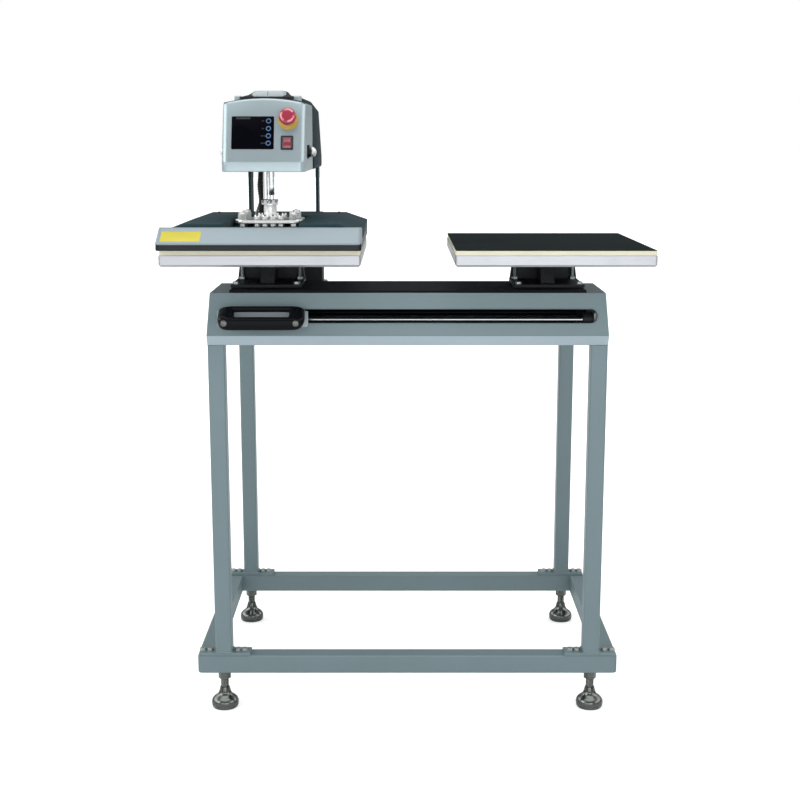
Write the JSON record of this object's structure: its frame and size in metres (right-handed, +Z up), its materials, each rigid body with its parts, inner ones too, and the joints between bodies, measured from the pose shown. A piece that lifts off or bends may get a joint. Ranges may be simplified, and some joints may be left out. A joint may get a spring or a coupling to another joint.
{
  "type": "dual station heat press",
  "caption": "Floor-standing heat press whose heated head slides along a beam between two lower platens, with a slanted control panel and an emergency stop.",
  "frame": {"origin": "on the floor, under the middle of the machine's footprint", "axes": "+X to the right seen from the operator, +Y from the operator to the back, +Z up"},
  "size_m": [0.9895, 0.6866, 1.3085],
  "materials": {
    "stand_paint": "satin powder coat, blue grey",
    "dark_strip_paint": "satin dark paint",
    "black_steel": "black paint",
    "head_paint": "satin light grey paint",
    "slate_cover": "glossy dark slate paint",
    "skirt_paint": "satin pale grey paint",
    "dark_anodised": "milled",
    "bright_aluminium": "milled",
    "silicone": "matt cream silicone",
    "polished_steel": "polished",
    "zinc_steel": "zinc plated",
    "handle_plastic": "gloss moulded",
    "black_plastic": "fine grained",
    "screen_gloss": "glossy black",
    "silver_plastic": "silver, satin",
    "red_plastic": "glossy red",
    "yellow_plastic": "satin yellow",
    "board_green": "lacquered board",
    "black_rubber": "matt black",
    "grey_sleeve": "woven grey sleeve",
    "wool": "pressed fibre"
  },
  "bodies": {
    "stand": {"base_frame": "stand_paint", "leg_front_left": "stand_paint", "leg_front_right": "stand_paint", "leg_rear_left": "stand_paint", "leg_rear_right": "stand_paint", "top_frame": "stand_paint", "rear_track": "bright_aluminium", "beam_shell": "stand_paint", "beam_end_left": "stand_paint", "beam_end_right": "stand_paint", "guide_shafts": "polished_steel", "shaft_support_left": "bright_aluminium", "shaft_support_right": "bright_aluminium", "stop_bumpers": "black_rubber", "pedestal_strip": "dark_strip_paint", "pedestal_left": "black_steel", "pedestal_right": "black_steel", "lower_platen_left": "bright_aluminium", "lower_platen_right": "bright_aluminium", "pad_left": "silicone", "pad_right": "silicone", "frame_bolts": "zinc_steel"},
    "foot_front_left": {"foot_front_left": "zinc_steel"},
    "foot_front_right": {"foot_front_right": "zinc_steel"},
    "foot_rear_left": {"foot_rear_left": "zinc_steel"},
    "foot_rear_right": {"foot_rear_right": "zinc_steel"},
    "shuttle": {"carriage_plate": "black_steel", "linear_bearings": "bright_aluminium", "push_handle": "handle_plastic", "carriage_screws": "zinc_steel", "arm_plate_left": "black_steel", "arm_plate_right": "black_steel", "arm_housing": "black_steel", "rear_glide": "black_plastic", "head_frame": "black_steel", "front_shell": "head_paint", "rear_cover": "slate_cover", "power_inlet": "black_plastic", "actuator": "black_steel", "top_cap": "silver_plastic", "screen_panel": "screen_gloss", "control_board": "board_green", "stop_ring": "yellow_plastic", "rocker_bezel": "black_plastic"},
    "press": {"spindle": "polished_steel", "guide_rod": "polished_steel", "spindle_coupling": "polished_steel", "spider_flange": "zinc_steel", "flange_bolts": "zinc_steel", "hot_platen": "dark_anodised", "insulation": "wool", "front_skirt": "skirt_paint", "platen_cover": "slate_cover", "heater_cable": "black_rubber", "sensor_lead": "grey_sleeve"},
    "stop_stem": {"stop_stem": "black_plastic"},
    "stop_cap": {"stop_cap": "red_plastic"},
    "rocker_button": {"rocker_button": "red_plastic"},
    "latch_left": {"latch_left": "polished_steel"},
    "latch_right": {"latch_right": "polished_steel"}
  },
  "joints": [
    {"name": "foot_front_left_screw", "type": "slide", "parent": "stand", "child": "foot_front_left", "axis": [0, 0, 1], "range_m": [-0.01, 0.018]},
    {"name": "foot_front_right_screw", "type": "slide", "parent": "stand", "child": "foot_front_right", "axis": [0, 0, 1], "range_m": [-0.01, 0.018]},
    {"name": "foot_rear_left_screw", "type": "slide", "parent": "stand", "child": "foot_rear_left", "axis": [0, 0, 1], "range_m": [-0.01, 0.018]},
    {"name": "foot_rear_right_screw", "type": "slide", "parent": "stand", "child": "foot_rear_right", "axis": [0, 0, 1], "range_m": [-0.01, 0.018]},
    {"name": "shuttle_slide", "type": "slide", "parent": "stand", "child": "shuttle", "axis": [1, 0, 0], "range_m": [0, 0.587]},
    {"name": "press_slide", "type": "slide", "parent": "shuttle", "child": "press", "axis": [0, 0, 1], "range_m": [0, 0.05], "deforming": ["heater_cable", "sensor_lead"]},
    {"name": "stop_press", "type": "slide", "parent": "shuttle", "child": "stop_stem", "axis": [0, 0.9327, -0.3606], "range_m": [0, 0.004]},
    {"name": "stop_twist", "type": "hinge", "parent": "stop_stem", "child": "stop_cap", "pos_m": [-0.2435, -0.19122, 1.25206], "axis": [0, -0.9327, 0.3606], "range_deg": [0, 45], "stiffness_Nm_per_rad": 0.05},
    {"name": "rocker_tilt", "type": "hinge", "parent": "shuttle", "child": "rocker_button", "pos_m": [-0.2455, -0.19285, 1.20069], "axis": [1, 0, 0], "range_deg": [-18, 0]},
    {"name": "latch_left_turn", "type": "hinge", "parent": "shuttle", "child": "latch_left", "pos_m": [-0.2935, -0.09625, 1.1825], "axis": [1, 0, 0], "range_deg": [0, 90]},
    {"name": "latch_right_turn", "type": "hinge", "parent": "shuttle", "child": "latch_right", "pos_m": [-0.2935, -0.09625, 1.1825], "axis": [1, 0, 0], "range_deg": [0, 90]}
  ]
}
